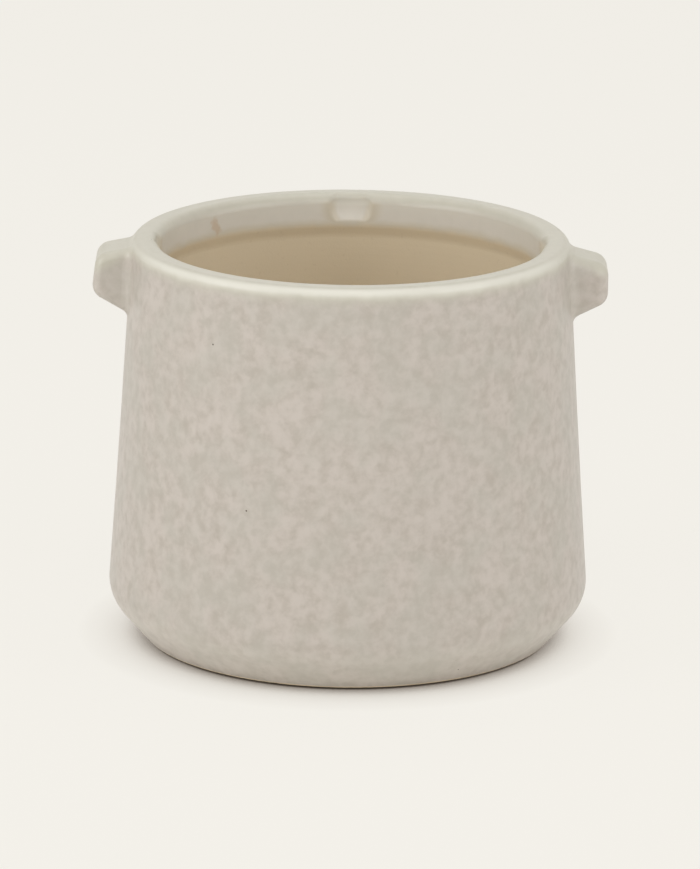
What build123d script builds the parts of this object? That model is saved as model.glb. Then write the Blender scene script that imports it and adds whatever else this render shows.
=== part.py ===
from build123d import *
import os

# A stoneware cachepot. It stands on the plane Z = 0 with its axis on Z, its lugs point along X
# and its front is towards -Y. Lengths are in millimetres. The corners of an outline are given
# as they are before they are rounded.

# Body: the mouth takes the pot that stands inside, and the wall widens from the rim to the belly
body_height = 132.6
mouth_radius = 62.4
lip_width = 8.9
wall_flare = 7.7
wall_hollow = 0.3
belly_height = 13.8
belly_round = 12.7
foot_inset = 11.8
foot_round = 2.0
floor_thickness = 7.0
floor_corner_round = 6.0

# Foot ring under the floor
foot_ring_width = 10.0
foot_recess_depth = 1.8
foot_recess_round = 1.2
foot_ring_inner_round = 0.6

# Collar: the wall is thicker inside the rim, and this thick part slopes back to the wall below
lip_outer_round = 2.9
lip_inner_round = 3.5
collar_depth = 11.0
step_width = 1.4
step_height = 3.4
collar_edge_round = 4.0
step_round = 5.0

# Thumb dents in the collar: one behind each lug, and one at the back between them
dent_count = 3
dent_width = 15.4
dent_height = 13.0
dent_depth = 1.2
dent_drop = 2.5
dent_edge_round = 1.8
thumb_tip_round = 3.6

# Both lugs
lug_width = 20.0
lug_tip_round = 5.0
lug_root_round = 3.5
lug_back_depth = 2.0
lug_seat_projection = 3.2

# Right lug: how far it stands out of the rim, and how far its top and its underside lie below the
# rim, at its back and at its tip
right_projection = 12.5
right_back_top_drop = 3.0
right_tip_top_drop = 6.9
right_tip_under_drop = 19.3
right_back_under_drop = 26.5
right_edge_round = 4.0

# Left lug, whose tip leans out towards its underside
left_projection = 12.86
left_back_top_drop = 1.9
left_tip_top_drop = 4.6
left_tip_under_drop = 17.5
left_back_under_drop = 26.0
left_tip_lean = 1.6
left_edge_round = 2.8

# Rubber pads stuck under the foot ring
pad_count = 3
pad_diameter = 8.0
pad_thickness = 0.8

# How far a cut runs past the surface
overrun = 5.0

os.makedirs("parts", exist_ok=True)


def line_beside(start, end, distance):
    """Returns a point and the direction of the line at a distance to the left of start to end."""
    direction = (Vector(end) - Vector(start)).normalized()
    return Vector(start) + Vector(-direction.Y, direction.X) * distance, direction


def crossing(first, second):
    """Returns the point where two lines cross, each given by a point and a direction."""
    first_point, first_direction = first
    second_point, second_direction = second
    gap = (second_point - first_point).cross(second_direction).Z
    point = first_point + first_direction * (gap / first_direction.cross(second_direction).Z)
    return point.X, point.Y


# The plane of X and Z, with its height counted from the underside of the foot ring
side_plane = Plane(origin=(0, 0, pad_thickness), x_dir=(1, 0, 0), z_dir=(0, -1, 0))

rim_radius = mouth_radius + lip_width
belly_radius = rim_radius + wall_flare
foot_radius = belly_radius - foot_inset

# Outline of the turned pot, from the foot up over the rim and down inside
recess_radius = foot_radius - foot_ring_width
foot_corner = (foot_radius, 0)
belly_corner = (belly_radius, belly_height)
rim_corner = (rim_radius, body_height)
mouth_corner = (mouth_radius, body_height)
collar_corner = (mouth_radius, body_height - collar_depth)
recess_corner = (recess_radius, foot_recess_depth)
ring_corner = (recess_radius, 0)

# Inside, the wall runs down from the step side by side with the outside
step_corner = (mouth_radius + step_width, body_height - collar_depth - step_height)
wall_direction = (Vector(rim_corner) - Vector(belly_corner)).normalized()
wall_thickness = abs(wall_direction.cross(Vector(step_corner) - Vector(belly_corner)).Z)
inner_wall = (Vector(step_corner), wall_direction)
inner_foot = line_beside(foot_corner, belly_corner, wall_thickness)
inner_belly_corner = crossing(inner_wall, inner_foot)
floor_corner = crossing(inner_foot, (Vector(0, floor_thickness), Vector(1, 0)))

corner_rounds = [
    (foot_corner, foot_round),
    (belly_corner, belly_round),
    (rim_corner, lip_outer_round),
    (mouth_corner, lip_inner_round),
    (collar_corner, collar_edge_round),
    (step_corner, step_round),
    (inner_belly_corner, belly_round - wall_thickness),
    (floor_corner, floor_corner_round),
    (recess_corner, foot_recess_round),
    (ring_corner, foot_ring_inner_round),
]

# The outline is drawn towards the front, so that the turned faces start and end away from the dents
with BuildPart() as turned_pot:
    with BuildSketch(side_plane.rotated((0, 0, -90))) as outline:
        with BuildLine():
            SagittaArc(belly_corner, rim_corner, wall_hollow)
            Polyline(rim_corner, mouth_corner, collar_corner, step_corner, inner_belly_corner, floor_corner,
                     (0, floor_thickness), (0, foot_recess_depth), recess_corner, ring_corner,
                     foot_corner, belly_corner)
        make_face()
        for corner, radius in corner_rounds:
            fillet(outline.vertices().sort_by_distance(corner)[0], radius)
    revolve(axis=Axis.Z)

# A thumb that lies along the wall and is pressed into the collar
thumb_radius = (dent_height**2 / 4 + dent_depth**2) / (2 * dent_depth)
thumb_centre = (mouth_radius + dent_depth - thumb_radius, 0, pad_thickness + body_height - dent_drop)

with BuildPart() as thumb:
    with BuildSketch(Plane(origin=thumb_centre, x_dir=(0, 1, 0), z_dir=(0, 0, 1))) as thumb_half:
        Rectangle(dent_width, thumb_radius, align=(Align.CENTER, Align.MIN))
        fillet(thumb_half.vertices().group_by(Axis.Y)[-1], thumb_tip_round)
    revolve(axis=Axis(thumb_centre, (0, 1, 0)))

lug_back = rim_radius - lug_back_depth


def pressed_lug(projection, back_top_drop, tip_top_drop, tip_under_drop, back_under_drop, edge_round,
                tip_lean=0):
    """Returns a lug on the +X side as it leaves the press, with its back inside the wall."""
    lug_tip = rim_radius + projection
    top_corner = (lug_tip - tip_lean, body_height - tip_top_drop)
    under_corner = (lug_tip, body_height - tip_under_drop)
    with BuildPart() as lug:
        with BuildSketch(side_plane) as side:
            with BuildLine():
                Polyline((lug_back, body_height - back_top_drop), top_corner, under_corner,
                         (lug_back, body_height - back_under_drop), close=True)
            make_face()
            for corner in (top_corner, under_corner):
                fillet(side.vertices().sort_by_distance(corner)[0], lug_tip_round)
        extrude(amount=lug_width / 2, both=True)
        back_edges = lug.faces().sort_by(Axis.X)[0].edges()
        side_edges = lug.faces().filter_by(Axis.Y).edges()
        fillet([edge for edge in side_edges if edge not in back_edges], edge_round)
    return lug.part


right_blank = pressed_lug(right_projection, right_back_top_drop, right_tip_top_drop,
                          right_tip_under_drop, right_back_under_drop, right_edge_round)
left_blank = mirror(pressed_lug(left_projection, left_back_top_drop, left_tip_top_drop,
                                left_tip_under_drop, left_back_under_drop, left_edge_round, left_tip_lean),
                    about=Plane.YZ)

# The pot with both lugs worked into its wall, as it is before the pieces are told apart
with BuildPart() as worked_pot:
    add(turned_pot.part)
    with PolarLocations(0, dent_count, 0, 180, endpoint=True):
        add(thumb.part, mode=Mode.SUBTRACT)
    fillet(worked_pot.edges(Select.NEW), dent_edge_round)
    add(right_blank)
    fillet(worked_pot.edges(Select.NEW), lug_root_round)
    add(left_blank)
    fillet(worked_pot.edges(Select.NEW), lug_root_round)

# Each lug is stuck on at a flat seat, a little outside the wall
seat_distance = rim_radius + lug_seat_projection
lug_room_length = max(left_projection, right_projection) - lug_seat_projection + overrun
lug_room_height = max(left_back_under_drop, right_back_under_drop) + 2 * overrun
lug_room_bottom = pad_thickness + body_height + overrun - lug_room_height


def lug_room(side):
    """Returns the block of space outside a lug's seat, on the +X side (1) or the -X side (-1)."""
    with BuildPart() as room:
        with BuildSketch(Plane.XY.offset(lug_room_bottom)):
            with Locations((side * (seat_distance + lug_room_length / 2), 0)):
                Rectangle(lug_room_length, lug_width + 2 * (lug_root_round + overrun))
        extrude(amount=lug_room_height)
    return room.part


rooms = {"lug_right": lug_room(1), "lug_left": lug_room(-1)}

with BuildPart() as pot_body:
    add(worked_pot.part)
    for room in rooms.values():
        add(room, mode=Mode.SUBTRACT)
pot_body.part.label = "pot_body"
export_step(pot_body.part, "parts/pot_body.step")

for name, room in rooms.items():
    with BuildPart() as lug_piece:
        add(worked_pot.part)
        add(room, mode=Mode.INTERSECT)
    lug_piece.part.label = name
    export_step(lug_piece.part, f"parts/{name}.step")

# The pads lie on the middle of the foot ring's flat, the first one at the back
pad_distance = (recess_radius + foot_ring_inner_round + foot_radius - foot_round / 2) / 2

for index, place in enumerate(PolarLocations(pad_distance, pad_count, 90)):
    with BuildPart() as foot_pad:
        with BuildSketch():
            with Locations(place):
                Circle(pad_diameter / 2)
        extrude(amount=pad_thickness)
    foot_pad.part.label = f"foot_pad_{index + 1}"
    export_step(foot_pad.part, f"parts/foot_pad_{index + 1}.step")
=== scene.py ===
from math import pi, radians

import bpy
from bpy.props import FloatProperty, FloatVectorProperty, PointerProperty
from mathutils import Matrix, Vector


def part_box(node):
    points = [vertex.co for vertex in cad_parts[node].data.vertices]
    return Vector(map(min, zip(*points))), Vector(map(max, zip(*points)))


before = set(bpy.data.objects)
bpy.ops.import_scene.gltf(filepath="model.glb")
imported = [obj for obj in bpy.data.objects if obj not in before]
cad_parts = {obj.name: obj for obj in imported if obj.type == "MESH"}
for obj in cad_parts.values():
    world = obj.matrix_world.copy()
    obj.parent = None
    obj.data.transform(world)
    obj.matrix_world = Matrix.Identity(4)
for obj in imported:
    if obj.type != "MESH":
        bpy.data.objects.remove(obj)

bl_info = {
    "name": "Stoneware Cachepot",
    "version": (1, 0, 0),
    "blender": (4, 5, 0),
    "location": "3D View > Sidebar > Cachepot",
    "description": "Glazes a stoneware cachepot and sets it on a studio floor",
    "category": "Object",
}

# Lengths are in metres. The pot's axis is Z, its lugs point along X and its front is towards -Y.
# The heights of its foot and its rim come from its solid.
FOOT_HEIGHT, RIM_HEIGHT = (corner[2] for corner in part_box("pot_body"))
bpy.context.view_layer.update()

# The middle of the wall's thickness: its radius at the rim, how much it widens for each metre down
# from there, its radius at the foot, and how much it widens for each metre up
RIM_MIDDLE, RIM_SPREAD = 0.0670, 0.065
FOOT_MIDDLE, FOOT_SPREAD = 0.0617, 0.855

# Radius of the rim outside, and how steeply the lugs slope down
LIP_REACH = 0.0713
LUG_SLOPE = 0.5

# Thumb dents in the collar: the height of their middle, and the radius of their hollow
DENT_HEIGHT = 0.1285
DENT_RADIUS = 0.0052

# Iron streak on the collar: its place, its reach along Y, how it leans, how far its sides wander and
# the distance from one bend in them to the next, and how strong it is
STREAK_PLACE = (-0.0449, 0.0433, 0.1260)
STREAK_REACH = 0.006
STREAK_LEAN = 0.2
STREAK_WANDER, STREAK_WAVE = 0.004, 0.0035
STREAK_SHARE = 0.42

# The edges of the glaze wander up and down: how far, the distance from one bend to the next, and the
# share of it at the foot
WANDER, WAVE = 0.002, 0.008
FOOT_WANDER = 0.15

# Each fade below gives the value where it starts and the value where it ends and, where it doesn't
# go from 0 to 1, the share at its start and the share at its end.

# Plain glaze on top of the rim and of the lugs, by the drop below the rim
RIM_DOWN = (0.0065, 0.0020, 0.0, 0.75)

# Painted highlight over the edge of the lip, in a pale glaze colour, by the drop below the rim, by the
# distance inwards and outwards from the rim's outside, and by the distance from the middle of the lugs
PAINTED_HIGHLIGHT_DOWN = (0.0044, 0.0012)
PAINTED_HIGHLIGHT_INWARDS = (-0.0019, -0.0004)
PAINTED_HIGHLIGHT_OUTWARDS = (0.0018, 0.0)
PAINTED_HIGHLIGHT_BY_LUGS = (0.010, 0.042, 0.15, 0.76)

# Painted light from below: a paler glaze colour low on the belly, by its height
PAINTED_BOUNCE_UPWARDS = (0.019, 0.011)
PAINTED_BOUNCE_DOWNWARDS = (0.0015, 0.0050, 0.0, 0.2)

# Inside of the wall, by the distance outwards from its middle, and the collar, by the drop below the rim
INSIDE = (0.0025, -0.0025)
COLLAR_DOWN = (0.0012, 0.0040)

# Painted shade round a dent, a ring in the thin glaze's darker colour, where 1 is the edge of its hollow,
# and the front half of the pot, by Y
DENT_SHADE_EDGE = (0.82, 1.18)
DENT_SHADE_SURROUND = (2.20, 1.40)
FRONT_HALF = (0.01, -0.01)

# Painted light at the top of a dent, in the lip's pale colour, by the height above its middle, by the
# drop below the rim and by the distance sideways
DENT_TOP_PAINTED_LIGHT_UP = (0.0, 0.0015)
DENT_TOP_PAINTED_LIGHT_DOWN = (0.0006, 0.0018)
DENT_TOP_PAINTED_LIGHT_SIDEWAYS = (0.0070, 0.0052, 0.0, 0.4)

# Thin glaze and bare clay at the end of the glaze inside, by the height above that end, and bare clay
# under the foot, by the height above it
THIN_AT_END = (0.0028, 0.0004)
BARE_AT_END = (0.0011, -0.0011)
BARE_FOOT = (0.0009, 0.0005)

# The streak, where 1 is its edge
STREAK_EDGE = (1.0, 0.3)

# How strong the clouds, the collar's colour (its own paler glaze and painted light), the thin glaze and
# the painted shade round the dents, and the patches in the bare clay are
CLOUD_SHARE = 0.40
COLLAR_SHARE = 0.8
THIN_SHARE = 0.8
PATCH_SHARE = 0.25

# Spots, clouds, specks and patches, by the noise that they come from, how much the clouds gather the
# spots, and how much wider than the spots the waves in the skin of the glaze are
SPOTS = (0.27, 0.80)
CLOUDS = (0.35, 0.70)
SPECKS = (0.66, 0.74)
PATCHES = (0.3, 0.7)
GATHERING = 0.35
SKIN_WAVE = 2.2

# Size of a speck and of a patch in the bare clay, in grains, and how high its turning rings are next
# to the grain
SPECK_GRAINS, PATCH_GRAINS = 2.5, 30.0
RING_HEIGHT = 0.10

# Radius of a pinhole, and the share of places that have one on the body and on the lugs
PINHOLE_RADIUS = 0.0004
BODY_PINHOLES, LUG_PINHOLES = 0.3, 0.1

# Depth and strength of the relief in the glaze and in the bare clay, and roughness of bare clay
GLAZE_RELIEF = (0.00012, 0.6)
CLAY_RELIEF = (0.00008, 0.5)
CLAY_ROUGHNESS = 0.85

# Dust on the pads: its size, where it shows, and the roughness of clean and of dusty rubber
DUST_SIZE = 0.0015
DUST = (0.45, 0.75)
RUBBER_ROUGHNESS = (0.55, 0.8)

# Floor: its colour and roughness under the lamps, and how much of what the camera sees of it is even
FLOOR_COLOUR = (0.96, 0.94, 0.90)
FLOOR_ROUGHNESS = 0.9
FLOOR_EVENNESS = 0.92

# Shadow under the pot: how far it reaches, its darkest colour, how bright the floor is where it is
# open to a given share, and the powers of that brightness which its red, green and blue follow
SHADOW_REACH = 0.0175
SHADOW_COLOUR = (0.02, 0.015, 0.01)
SHADOW_STEPS = ((0.12, 0.07), (0.22, 0.40), (0.34, 0.73), (0.46, 0.86), (0.68, 0.94))
SHADOW_FALL = (1.0, 1.1, 1.18)

# Colour of the light from all around
ROOM_COLOUR = (1.0, 0.99, 0.97)

# Lamps: name, place, width, height and the setting that holds the power
LAMPS = (
    ("Key lamp", (-0.10, -0.80, 1.40), 1.5, 1.2, "key_light"),
    ("Top lamp", (0.0, 0.30, 1.60), 1.2, 1.2, "top_light"),
    ("Front lamp", (0.10, -1.35, 1.00), 1.0, 0.4, "front_light"),
    ("Left lamp", (-1.30, -0.60, 0.60), 0.9, 0.9, "left_light"),
    ("Right lamp", (1.30, -0.60, 0.60), 0.9, 0.9, "right_light"),
    ("Back lamp", (0.0, 1.50, 0.90), 1.2, 0.5, "back_light"),
)

# What the camera looks at, and how far it sees
CAMERA_TARGET = (0.00033, 0, 0.06677)
CAMERA_REACH = 100


def colour_property(name, description, default):
    """Returns a colour that the user can pick."""
    return FloatVectorProperty(name=name, description=description, subtype="COLOR", size=3, min=0, max=1,
                               default=default)


def length_property(name, description, default):
    """Returns a length that the user can set."""
    return FloatProperty(name=name, description=description, unit="LENGTH", min=0, default=default,
                         precision=5)


def share_property(name, description, default):
    """Returns a share from 0 to 1 that the user can set."""
    return FloatProperty(name=name, description=description, subtype="FACTOR", min=0, max=1,
                         default=default)


def power_property(name, description, default):
    """Returns the power of a lamp that the user can set."""
    return FloatProperty(name=name, description=description, unit="POWER", min=0, default=default)


class CachepotGlaze(bpy.types.PropertyGroup):
    """Colours and sizes of the glaze."""
    ground: colour_property("Glaze", "Colour of the glaze between its spots", (0.574, 0.520, 0.468))
    spot: colour_property("Spots", "Colour of the darker spots in the glaze", (0.448, 0.399, 0.343))
    cloud: colour_property("Clouds", "Colour that the glaze drifts to in its clouds",
                           (0.525, 0.507, 0.448))
    # Painted highlight: this pale colour stands for light on the lip's edge, and is painted as light low on
    # the belly and at the top of the dents too
    lip: colour_property("Lip", "Colour of the glaze where it runs thin over the edge of the lip",
                         (0.790, 0.772, 0.690))
    rim: colour_property("Rim", "Colour of the glaze on top of the rim and of the lugs",
                         (0.565, 0.546, 0.452))
    # The collar's colour is partly its own paler glaze and partly painted light against the shade inside
    # the rim
    collar: colour_property("Collar", "Colour of the glaze on the collar inside the rim",
                            (0.740, 0.706, 0.628))
    # The thin glaze's colour is also painted shade round the dents
    thin: colour_property("Thin glaze", "Colour of the glaze at its end and round the dents",
                          (0.620, 0.560, 0.445))
    # Painted shade: the dark colour of a pinhole stands for the shade in the small hole
    pinhole: colour_property("Pinholes", "Colour of the clay that shows in a pinhole",
                             (0.090, 0.065, 0.045))
    rust: colour_property("Rust", "Colour of the iron streak inside the rim", (0.520, 0.330, 0.170))
    spot_size: length_property("Spot size", "Distance from one spot in the glaze to the next", 0.0036)
    cloud_size: length_property("Cloud size", "Distance from one cloud in the glaze to the next", 0.013)
    pinhole_spacing: length_property("Pinhole spacing", "Side of the patch that holds one pinhole", 0.011)
    glass_index: FloatProperty(name="IOR", description="How strongly the glaze bends and mirrors light",
                               min=1, max=2.5, default=1.45)
    streak_width: length_property("Streak width", "Width of the iron streak on the collar", 0.0030)
    streak_length: length_property("Streak length", "Height of the iron streak on the collar", 0.0095)
    roughness: share_property("Roughness", "How matt the glaze is", 0.36)


class CachepotClay(bpy.types.PropertyGroup):
    """Colours and sizes of the bare clay and of the pads."""
    clay: colour_property("Clay", "Colour of the fired clay", (0.728, 0.624, 0.456))
    speck: colour_property("Specks", "Colour of the specks in the clay", (0.694, 0.592, 0.428))
    rubber: colour_property("Pads", "Colour of the rubber pads", (0.060, 0.057, 0.053))
    grain_size: length_property("Grain", "Size of the grain in the clay", 0.0006)
    ring_spacing: length_property("Turning rings", "Distance between the rings left by turning", 0.0022)
    collar_depth: length_property("Collar depth", "How far down inside the glaze reaches", 0.0108)


class CachepotStage(bpy.types.PropertyGroup):
    """Camera, floor and light."""
    background: colour_property("Background", "Colour of the floor and of what lies beyond it",
                                (0.896, 0.871, 0.813))
    floor_size: length_property("Floor", "Side of the floor", 12.0)
    room_light: FloatProperty(name="Room light", description="Strength of the light from all around",
                              min=0, default=0.34)
    key_light: power_property("Key light", "Power of the large lamp high in front", 3.0)
    top_light: power_property("Top light", "Power of the lamp above the pot", 6.5)
    front_light: power_property("Front light", "Power of the lamp in front", 4.0)
    left_light: power_property("Left light", "Power of the lamp on the left", 8.2)
    right_light: power_property("Right light", "Power of the lamp on the right", 6.0)
    back_light: power_property("Back light", "Power of the lamp behind the pot", 1.2)
    camera_distance: length_property("Camera distance", "Distance from the camera to the pot", 2.0)
    camera_angle: FloatProperty(name="Camera angle", description="How far the camera looks down",
                                subtype="ANGLE", default=radians(15.23))
    camera_roll: FloatProperty(name="Camera roll", description="How far the camera leans to one side",
                               subtype="ANGLE", default=radians(0.542))
    camera_lens: FloatProperty(name="Lens", description="Focal length of the camera",
                               unit="CAMERA", default=252.37)


def feed(tree, value, socket):
    """Gives an input socket a value, or links the socket that feeds it."""
    if isinstance(value, bpy.types.NodeSocket):
        tree.links.new(value, socket)
    else:
        socket.default_value = value


def node(tree, kind, inputs=None, **settings):
    """Adds a node with its settings, and gives its inputs values or the sockets that feed them."""
    new = tree.nodes.new(kind)
    for name, value in settings.items():
        setattr(new, name, value)
    for key, value in (inputs or {}).items():
        feed(tree, value, new.inputs[key])
    return new


def calculate(tree, operation, *values):
    """Returns the result of a sum on numbers or sockets."""
    return node(tree, "ShaderNodeMath", dict(enumerate(values)), operation=operation).outputs[0]


def product(tree, first, *others):
    """Returns the product of numbers or sockets."""
    for other in others:
        first = calculate(tree, "MULTIPLY", first, other)
    return first


def larger(tree, first, second):
    """Returns the larger of two numbers or sockets."""
    return calculate(tree, "MAXIMUM", first, second)


def ramp(tree, value, start, end, low=0.0, high=1.0):
    """Returns a value that goes smoothly from low to high while another goes from start to end."""
    inputs = {"Value": value, "From Min": start, "From Max": end, "To Min": low, "To Max": high}
    return node(tree, "ShaderNodeMapRange", inputs, interpolation_type="SMOOTHSTEP").outputs["Result"]


def blend(tree, share, first, second):
    """Returns a colour between two others. They are sockets or three numbers."""
    first, second = (value if isinstance(value, bpy.types.NodeSocket) else (*value, 1)
                     for value in (first, second))
    return node(tree, "ShaderNodeMix", {0: share, 6: first, 7: second}, data_type="RGBA").outputs[2]


def noise(tree, place, size, detail=2.0, roughness=0.5, distortion=0.0):
    """Returns a noise value whose waves are a given length."""
    scale = calculate(tree, "DIVIDE", 1.0, size)
    inputs = {"Vector": place, "Scale": scale, "Detail": detail, "Roughness": roughness,
              "Distortion": distortion}
    return node(tree, "ShaderNodeTexNoise", inputs).outputs["Fac"]


def wander(tree, place, size, distance):
    """Returns a length that wanders about 0, with bends a given size apart."""
    return product(tree, calculate(tree, "SUBTRACT", noise(tree, place, size), 0.5), distance)


def length(tree, x, y, z=0.0):
    """Returns the length of a vector from its parts."""
    vector = node(tree, "ShaderNodeCombineXYZ", {0: x, 1: y, 2: z}).outputs[0]
    return node(tree, "ShaderNodeVectorMath", {0: vector}, operation="LENGTH").outputs["Value"]


def object_place(tree):
    """Returns the place on the object."""
    return node(tree, "ShaderNodeTexCoord").outputs["Object"]


def relief(tree, height, distance, strength):
    """Returns the normal of a surface with a relief."""
    inputs = {"Height": height, "Distance": distance, "Strength": strength}
    return node(tree, "ShaderNodeBump", inputs).outputs[0]


def start_group(name, inputs, outputs):
    """Returns a new shader group, its input sockets and its output sockets. All of them hold numbers."""
    group = bpy.data.node_groups.new(name, "ShaderNodeTree")
    for label, default in inputs:
        socket = group.interface.new_socket(label, in_out="INPUT", socket_type="NodeSocketFloat")
        socket.default_value = default
    for label in outputs:
        group.interface.new_socket(label, in_out="OUTPUT", socket_type="NodeSocketFloat")
    return group, group.nodes.new("NodeGroupInput").outputs, group.nodes.new("NodeGroupOutput").inputs


def shared_group(name, build):
    """Returns a shader group, built the first time it is asked for."""
    return bpy.data.node_groups.get(name) or build(name)


def place_group(tree, group, **inputs):
    """Places a group in a material with its own values, and returns its outputs."""
    new = node(tree, "ShaderNodeGroup", node_tree=group)
    for name, value in inputs.items():
        feed(tree, value, new.inputs[name.replace("_", " ").capitalize()])
    return new.outputs


def build_glaze_mottle(name):
    """Builds the group for what every glazed face shows: spots, clouds and a wavy skin."""
    group, given, result = start_group(name, [("Spot size", 0.003), ("Cloud size", 0.03)],
                                       ["Spots", "Clouds", "Height"])
    place = object_place(group)
    spots = noise(group, place, given["Spot size"], detail=4.0, roughness=0.55, distortion=0.15)
    clouds = noise(group, place, given["Cloud size"])
    gathered = product(group, calculate(group, "SUBTRACT", clouds, 0.5), GATHERING)
    skin = noise(group, place, product(group, given["Spot size"], SKIN_WAVE))
    feed(group, ramp(group, calculate(group, "ADD", spots, gathered), *SPOTS), result["Spots"])
    feed(group, ramp(group, clouds, *CLOUDS), result["Clouds"])
    feed(group, skin, result["Height"])
    return group


def build_pinholes(name):
    """Builds the group for the few small holes that gas leaves in a glaze."""
    group, given, result = start_group(
        name, [("Spacing", 0.02), ("Radius", PINHOLE_RADIUS), ("Share", BODY_PINHOLES)], ["Holes"])
    scale = calculate(group, "DIVIDE", 1.0, given["Spacing"])
    cells = node(group, "ShaderNodeTexVoronoi", {"Vector": object_place(group), "Scale": scale},
                 feature="F1").outputs
    distance = product(group, cells["Distance"], given["Spacing"])
    number = node(group, "ShaderNodeSeparateColor", {"Color": cells["Color"]}).outputs[0]
    kept = calculate(group, "LESS_THAN", number, given["Share"])
    hole = ramp(group, distance, given["Radius"], product(group, given["Radius"], 0.5))
    feed(group, product(group, hole, kept), result["Holes"])
    return group


def build_bare_clay(name):
    """Builds the group for fired clay without glaze: grain, specks, patches and faint turning rings."""
    group, given, result = start_group(
        name, [("Grain size", 0.0006), ("Ring spacing", 0.0022), ("Ring height", RING_HEIGHT)],
        ["Specks", "Shade", "Height"])
    place = object_place(group)
    grain = noise(group, place, given["Grain size"])
    specks = noise(group, place, product(group, given["Grain size"], SPECK_GRAINS), detail=1.0)
    shade = noise(group, place, product(group, given["Grain size"], PATCH_GRAINS))
    x, y, z = node(group, "ShaderNodeSeparateXYZ", {0: place}).outputs
    along = calculate(group, "ADD", length(group, x, y), z)
    turns = product(group, calculate(group, "DIVIDE", along, given["Ring spacing"]), 2 * pi)
    rings = product(group, calculate(group, "SINE", turns), given["Ring height"])
    feed(group, ramp(group, specks, *SPECKS), result["Specks"])
    feed(group, ramp(group, shade, *PATCHES), result["Shade"])
    feed(group, calculate(group, "ADD", grain, rings), result["Height"])
    return group


def measure(tree):
    """Returns a place on the pot, its X, Y and Z, its distance from the axis, how far the edges of the
    glaze wander there, and its height with that added."""
    place = object_place(tree)
    x, y, z = node(tree, "ShaderNodeSeparateXYZ", {0: place}).outputs
    uneven = wander(tree, place, WAVE, WANDER)
    return place, (x, y, z), length(tree, x, y), uneven, calculate(tree, "ADD", z, uneven)


def build_rim_masks(name):
    """Builds the group that finds the top of the rim and of the lugs, the painted highlight over the edge
    of the lip and the painted light on the low part of the belly."""
    group, given, result = start_group(
        name, [("Rim height", RIM_HEIGHT), ("Lip reach", LIP_REACH), ("Lug slope", LUG_SLOPE)],
        ["Rim", "Lip", "Low"])
    _, (_, y, _), reach, _, level = measure(group)
    drop = calculate(group, "SUBTRACT", given["Rim height"], level)
    beyond = calculate(group, "SUBTRACT", reach, given["Lip reach"])
    lug_drop = product(group, larger(group, beyond, 0.0), given["Lug slope"])
    painted_highlight_by_lugs = ramp(group, calculate(group, "ABSOLUTE", y), *PAINTED_HIGHLIGHT_BY_LUGS)
    feed(group, ramp(group, calculate(group, "SUBTRACT", drop, lug_drop), *RIM_DOWN), result["Rim"])
    # Painted highlight over the edge of the lip
    feed(group, product(group, ramp(group, beyond, *PAINTED_HIGHLIGHT_INWARDS), ramp(group, beyond, *PAINTED_HIGHLIGHT_OUTWARDS),
                        ramp(group, drop, *PAINTED_HIGHLIGHT_DOWN), painted_highlight_by_lugs), result["Lip"])
    # Painted light low on the belly
    feed(group, product(group, ramp(group, level, *PAINTED_BOUNCE_UPWARDS), ramp(group, level, *PAINTED_BOUNCE_DOWNWARDS)),
         result["Low"])
    return group


def glaze(tree, settings, pinhole_share):
    """Returns the colour, height and pinholes of the glaze. It has hardly any spots on top of the rim,
    and a painted highlight over the edge of the lip and a little painted light low down."""
    mottle = place_group(tree, shared_group("Glaze mottle", build_glaze_mottle),
                         spot_size=settings.spot_size, cloud_size=settings.cloud_size)
    pinholes = place_group(tree, shared_group("Pinholes", build_pinholes),
                           spacing=settings.pinhole_spacing, radius=PINHOLE_RADIUS, share=pinhole_share)
    masks = place_group(tree, shared_group("Rim masks", build_rim_masks),
                        rim_height=RIM_HEIGHT, lip_reach=LIP_REACH, lug_slope=LUG_SLOPE)
    colour = blend(tree, mottle["Spots"], settings.ground, settings.spot)
    colour = blend(tree, product(tree, mottle["Clouds"], CLOUD_SHARE), colour, settings.cloud)
    colour = blend(tree, masks["Rim"], colour, settings.rim)
    # Painted highlight: pale colour over the edge of the lip
    colour = blend(tree, masks["Lip"], colour, settings.lip)
    # Painted light low on the belly, in the same pale colour
    colour = blend(tree, masks["Low"], colour, settings.lip)
    height = calculate(tree, "SUBTRACT", mottle["Height"], pinholes["Holes"])
    return colour, height, pinholes["Holes"]


def new_material(name):
    """Returns a material that is empty but for its shader, its node tree and that shader."""
    material = bpy.data.materials.new(name)
    material.use_nodes = True
    return material, material.node_tree, material.node_tree.nodes["Principled BSDF"]


def cover(name, material):
    """Gives a solid of the frame its material."""
    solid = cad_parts[name]
    solid.data.materials.clear()
    solid.data.materials.append(material)


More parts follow.
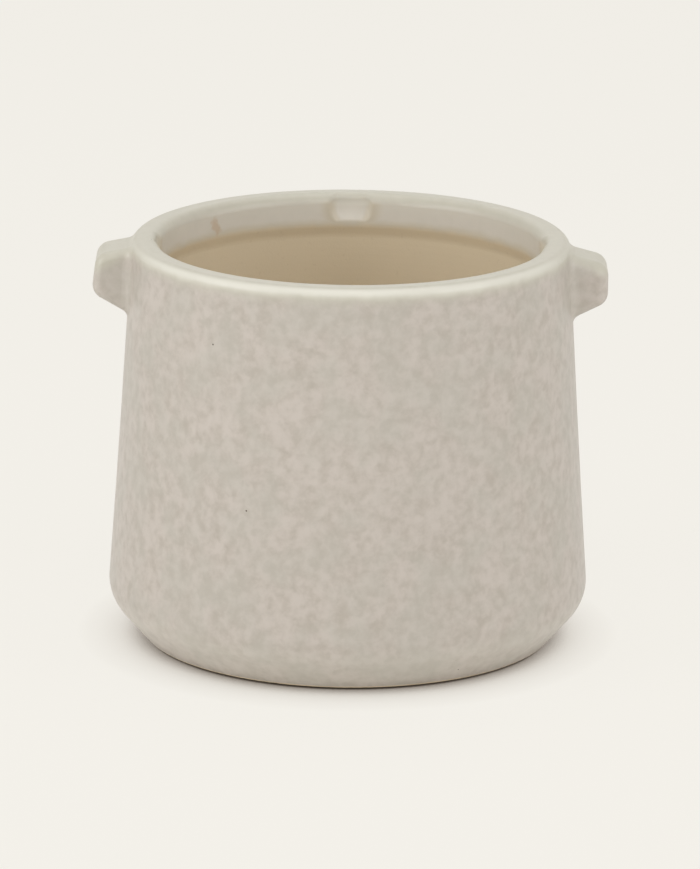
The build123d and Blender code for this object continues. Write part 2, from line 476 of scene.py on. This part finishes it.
class CACHEPOT_OT_glaze_body(bpy.types.Operator):
    """Glaze the body outside and over the lip, and leave it bare inside and under the foot"""
    bl_idname = "cachepot.glaze_body"
    bl_label = "Glaze the Body"
    bl_options = {"REGISTER", "UNDO"}

    def execute(self, context):
        settings, clay = context.scene.cachepot_glaze, context.scene.cachepot_clay
        material, tree, shader = new_material("Glazed stoneware")
        place, (x, y, z), reach, uneven, level = measure(tree)
        inside = self.find_inside(tree, reach, z)
        above_end = calculate(tree, "SUBTRACT", level, RIM_HEIGHT - clay.collar_depth)

        colour, height, holes = glaze(tree, settings, BODY_PINHOLES)
        colour = self.colour_collar(tree, settings, colour, (x, y, z), inside, above_end)
        streak = ramp(tree, self.streak_distance(tree, place, settings), *STREAK_EDGE)
        colour = blend(tree, product(tree, streak, STREAK_SHARE), colour, settings.rust)
        # Pinholes: painted shade, a dark colour in each small hole
        colour = blend(tree, holes, colour, settings.pinhole)

        bare_inside = product(tree, inside, ramp(tree, above_end, *BARE_AT_END))
        above_foot = calculate(tree, "SUBTRACT", calculate(tree, "MULTIPLY_ADD", uneven, FOOT_WANDER, z),
                               FOOT_HEIGHT)
        bare = larger(tree, bare_inside, ramp(tree, above_foot, *BARE_FOOT))
        ware = place_group(tree, shared_group("Bare clay", build_bare_clay), grain_size=clay.grain_size,
                           ring_spacing=clay.ring_spacing, ring_height=RING_HEIGHT)
        specks = larger(tree, ware["Specks"], product(tree, ware["Shade"], PATCH_SHARE))
        colour = blend(tree, bare, colour, blend(tree, specks, clay.clay, clay.speck))

        normal = node(tree, "ShaderNodeMix", {0: bare, 4: relief(tree, height, *GLAZE_RELIEF),
                                              5: relief(tree, ware["Height"], *CLAY_RELIEF)},
                      data_type="VECTOR").outputs[1]
        feed(tree, colour, shader.inputs["Base Color"])
        feed(tree, ramp(tree, bare, 0.0, 1.0, settings.roughness, CLAY_ROUGHNESS),
             shader.inputs["Roughness"])
        feed(tree, settings.glass_index, shader.inputs["IOR"])
        feed(tree, normal, shader.inputs["Normal"])
        cover("pot_body", material)
        return {"FINISHED"}

    def find_inside(self, tree, reach, z):
        """Returns the mask of what lies on the inner side of the middle of the wall."""
        rim_side = calculate(tree, "MULTIPLY_ADD", z, -RIM_SPREAD, RIM_MIDDLE + RIM_SPREAD * RIM_HEIGHT)
        foot_side = calculate(tree, "MULTIPLY_ADD", z, FOOT_SPREAD, FOOT_MIDDLE - FOOT_SPREAD * FOOT_HEIGHT)
        middle = calculate(tree, "MINIMUM", rim_side, foot_side)
        return ramp(tree, calculate(tree, "SUBTRACT", reach, middle), *INSIDE)

    def colour_collar(self, tree, settings, colour, parts, inside, above_end):
        """Returns the colour with that of the collar, partly painted light, of the thin glaze at its end,
        of the painted shade round the dents, and of the painted light at the top of the dents."""
        drop = calculate(tree, "SUBTRACT", RIM_HEIGHT, parts[2])
        on_collar = product(tree, inside, ramp(tree, drop, *COLLAR_DOWN))
        # The collar's paler colour: partly its own glaze, partly painted light against the shade inside
        colour = blend(tree, product(tree, on_collar, COLLAR_SHARE), colour, settings.collar)

        across, along, dent = self.dent_distance(tree, parts)
        # Painted shade: a darker ring round each dent's hollow, in the thin glaze's colour
        dent_painted_shade = product(tree, ramp(tree, dent, *DENT_SHADE_EDGE), ramp(tree, dent, *DENT_SHADE_SURROUND))
        thin = larger(tree, ramp(tree, above_end, *THIN_AT_END), dent_painted_shade)
        colour = blend(tree, product(tree, on_collar, thin, THIN_SHARE), colour, settings.thin)

        # Painted light: the pale lip colour at the top of each dent, against the shade there
        dent_top_painted_light = product(tree, ramp(tree, along, *DENT_TOP_PAINTED_LIGHT_UP), ramp(tree, drop, *DENT_TOP_PAINTED_LIGHT_DOWN),
                           ramp(tree, across, *DENT_TOP_PAINTED_LIGHT_SIDEWAYS))
        return blend(tree, product(tree, inside, dent_top_painted_light), colour, settings.lip)

    def dent_distance(self, tree, parts):
        """Returns how far a place is from the middle of the nearest thumb dent: sideways, upwards, and
        in all with 1 at the edge of its hollow. The front half has no dent in its middle."""
        x, y, z = parts
        beside_back = calculate(tree, "ADD", calculate(tree, "ABSOLUTE", x), ramp(tree, y, *FRONT_HALF))
        across = calculate(tree, "MINIMUM", beside_back, calculate(tree, "ABSOLUTE", y))
        along = calculate(tree, "SUBTRACT", z, DENT_HEIGHT)
        scaled = (calculate(tree, "DIVIDE", part, DENT_RADIUS) for part in (across, along))
        return across, along, length(tree, *scaled)

    def streak_distance(self, tree, place, settings):
        """Returns how far a place is from the middle of the iron streak, where 1 is the streak's edge."""
        shifted = node(tree, "ShaderNodeVectorMath", {0: place, 1: STREAK_PLACE}, operation="SUBTRACT")
        x, y, z = node(tree, "ShaderNodeSeparateXYZ", {0: shifted.outputs[0]}).outputs
        wave = wander(tree, place, STREAK_WAVE, STREAK_WANDER)
        across = calculate(tree, "MULTIPLY_ADD", z, STREAK_LEAN, calculate(tree, "ADD", x, wave))
        return length(tree, calculate(tree, "DIVIDE", across, settings.streak_width / 2),
                      calculate(tree, "DIVIDE", y, STREAK_REACH),
                      calculate(tree, "DIVIDE", z, settings.streak_length / 2))


class CACHEPOT_OT_glaze_lugs(bpy.types.Operator):
    """Glaze both lugs like the body"""
    bl_idname = "cachepot.glaze_lugs"
    bl_label = "Glaze the Lugs"
    bl_options = {"REGISTER", "UNDO"}

    def execute(self, context):
        settings = context.scene.cachepot_glaze
        material, tree, shader = new_material("Glazed lugs")
        colour, height, holes = glaze(tree, settings, LUG_PINHOLES)
        # The pinholes' dark colour is painted shade in the small holes
        feed(tree, blend(tree, holes, colour, settings.pinhole), shader.inputs["Base Color"])
        feed(tree, settings.roughness, shader.inputs["Roughness"])
        feed(tree, settings.glass_index, shader.inputs["IOR"])
        feed(tree, relief(tree, height, *GLAZE_RELIEF), shader.inputs["Normal"])
        for name in ("lug_left", "lug_right"):
            cover(name, material)
        return {"FINISHED"}


class CACHEPOT_OT_finish_pads(bpy.types.Operator):
    """Give the pads under the foot their rubber"""
    bl_idname = "cachepot.finish_pads"
    bl_label = "Finish the Pads"
    bl_options = {"REGISTER", "UNDO"}

    def execute(self, context):
        rubber = context.scene.cachepot_clay.rubber
        material, tree, shader = new_material("Rubber pad")
        dust = ramp(tree, noise(tree, object_place(tree), DUST_SIZE, detail=3.0), *DUST)
        dusty = tuple(2 * part for part in rubber)
        feed(tree, blend(tree, dust, rubber, dusty), shader.inputs["Base Color"])
        feed(tree, ramp(tree, dust, 0.0, 1.0, *RUBBER_ROUGHNESS), shader.inputs["Roughness"])
        for index in (1, 2, 3):
            cover(f"foot_pad_{index}", material)
        return {"FINISHED"}


def add_object(name, data):
    """Returns a new object in the scene."""
    new = bpy.data.objects.new(name, data)
    bpy.context.scene.collection.objects.link(new)
    return new


def look_at(place, target, roll=0.0):
    """Returns the matrix of something that stands at a place and looks at a target."""
    turn = (Vector(place) - Vector(target)).to_track_quat("Z", "Y").to_matrix().to_4x4()
    return Matrix.Translation(place) @ turn @ Matrix.Rotation(roll, 4, "Z")


def seen_directly(tree):
    """Returns 1 for what the camera sees, also in a reflection or through something clear, or else 0."""
    paths = node(tree, "ShaderNodeLightPath").outputs
    return larger(tree, paths["Is Camera Ray"],
                  larger(tree, paths["Is Glossy Ray"], paths["Is Transmission Ray"]))


class CACHEPOT_OT_set_stage(bpy.types.Operator):
    """Set the floor, the light and the camera"""
    bl_idname = "cachepot.set_stage"
    bl_label = "Set the Stage"
    bl_options = {"REGISTER", "UNDO"}

    def execute(self, context):
        stage = context.scene.cachepot_stage
        self.lay_floor(stage)
        self.light_room(context.scene, stage)
        self.hang_lamps(stage)
        self.place_camera(context.scene, stage)
        context.scene.view_settings.view_transform = "Standard"
        return {"FINISHED"}

    def lay_floor(self, stage):
        """Lays the floor. To the camera it is as pale as its colour, with the shadow of the pot on it."""
        half = stage.floor_size / 2
        corners = [(-half, -half, 0), (half, -half, 0), (half, half, 0), (-half, half, 0)]
        mesh = bpy.data.meshes.new("Floor")
        mesh.from_pydata(corners, [], [(0, 1, 2, 3)])
        material, tree, shader = new_material("Floor")
        shader.inputs["Base Color"].default_value = (*FLOOR_COLOUR, 1)
        shader.inputs["Roughness"].default_value = FLOOR_ROUGHNESS
        shader.inputs["Specular IOR Level"].default_value = 0.0
        glow = node(tree, "ShaderNodeEmission", {"Color": self.shade_floor(tree, stage), "Strength": 1.0})
        share = product(tree, seen_directly(tree), FLOOR_EVENNESS)
        mixed = node(tree, "ShaderNodeMixShader", {0: share, 1: shader.outputs[0], 2: glow.outputs[0]})
        feed(tree, mixed.outputs[0], tree.nodes["Material Output"].inputs["Surface"])
        mesh.materials.append(material)
        add_object("Floor", mesh)

    def shade_floor(self, tree, stage):
        """Returns the floor's colour, which is darker where the pot is close above it."""
        near = node(tree, "ShaderNodeAmbientOcclusion", {"Distance": SHADOW_REACH}, samples=16)
        shades = node(tree, "ShaderNodeValToRGB", {"Fac": near.outputs["AO"]})
        steps = shades.color_ramp.elements
        steps[0].color = (*SHADOW_COLOUR, 1)
        steps[1].color = (*stage.background, 1)
        for openness, share in SHADOW_STEPS:
            colour = (part * share**fall for part, fall in zip(stage.background, SHADOW_FALL))
            steps.new(openness).color = (*colour, 1)
        return shades.outputs["Color"]

    def light_room(self, scene, stage):
        """Lights the room evenly, and shows the camera the colour of the floor beyond it."""
        world = bpy.data.worlds.new("Room")
        world.use_nodes = True
        tree = world.node_tree
        light = tree.nodes["Background"]
        light.inputs["Color"].default_value = (*ROOM_COLOUR, 1)
        light.inputs["Strength"].default_value = stage.room_light
        beyond = node(tree, "ShaderNodeBackground", {"Color": (*stage.background, 1), "Strength": 1.0})
        mixed = node(tree, "ShaderNodeMixShader", {0: seen_directly(tree), 1: light.outputs[0],
                                                   2: beyond.outputs[0]})
        feed(tree, mixed.outputs[0], tree.nodes["World Output"].inputs["Surface"])
        scene.world = world

    def hang_lamps(self, stage):
        """Hangs wide lamps above the pot and on all sides of it."""
        for name, place, width, height, setting in LAMPS:
            lamp = bpy.data.lights.new(name, "AREA")
            lamp.shape = "RECTANGLE"
            lamp.size, lamp.size_y = width, height
            lamp.energy = getattr(stage, setting)
            add_object(name, lamp).matrix_world = look_at(place, (0, 0, RIM_HEIGHT / 2))

    def place_camera(self, scene, stage):
        """Places the camera where the photograph was taken from."""
        camera = bpy.data.cameras.new("Camera")
        camera.lens = stage.camera_lens
        camera.clip_end = CAMERA_REACH
        target = Vector(CAMERA_TARGET)
        away = Matrix.Rotation(-stage.camera_angle, 3, "X") @ Vector((0, -stage.camera_distance, 0))
        scene.camera = add_object("Camera", camera)
        scene.camera.matrix_world = look_at(target + away, target, stage.camera_roll)


class CACHEPOT_PT_panel(bpy.types.Panel):
    """Lists the steps in order, with their sizes and colours"""
    bl_label = "Cachepot"
    bl_idname = "CACHEPOT_PT_panel"
    bl_space_type = "VIEW_3D"
    bl_region_type = "UI"
    bl_category = "Cachepot"

    def draw(self, context):
        for group_name, operators in PANEL_ROWS:
            settings = getattr(context.scene, group_name)
            column = self.layout.column()
            for name in settings.__annotations__:
                column.prop(settings, name)
            for operator in operators:
                column.operator(operator.bl_idname)


PANEL_ROWS = (
    ("cachepot_glaze", (CACHEPOT_OT_glaze_body, CACHEPOT_OT_glaze_lugs)),
    ("cachepot_clay", (CACHEPOT_OT_finish_pads,)),
    ("cachepot_stage", (CACHEPOT_OT_set_stage,)),
)
SETTINGS = (
    ("cachepot_glaze", CachepotGlaze),
    ("cachepot_clay", CachepotClay),
    ("cachepot_stage", CachepotStage),
)
OPERATORS = tuple(operator for _, operators in PANEL_ROWS for operator in operators)
CLASSES = (*(kind for _, kind in SETTINGS), *OPERATORS, CACHEPOT_PT_panel)


def register():
    """Registers the classes and gives the scene its settings."""
    for kind in CLASSES:
        bpy.utils.register_class(kind)
    for name, kind in SETTINGS:
        setattr(bpy.types.Scene, name, PointerProperty(type=kind))


def unregister():
    """Takes back what register does."""
    for name, _ in SETTINGS:
        delattr(bpy.types.Scene, name)
    for kind in reversed(CLASSES):
        bpy.utils.unregister_class(kind)


def main():
    """Makes the whole scene."""
    register()
    bpy.ops.cachepot.glaze_body()
    bpy.ops.cachepot.glaze_lugs()
    bpy.ops.cachepot.finish_pads()
    bpy.ops.cachepot.set_stage()


if __name__ == "__main__":
    main()
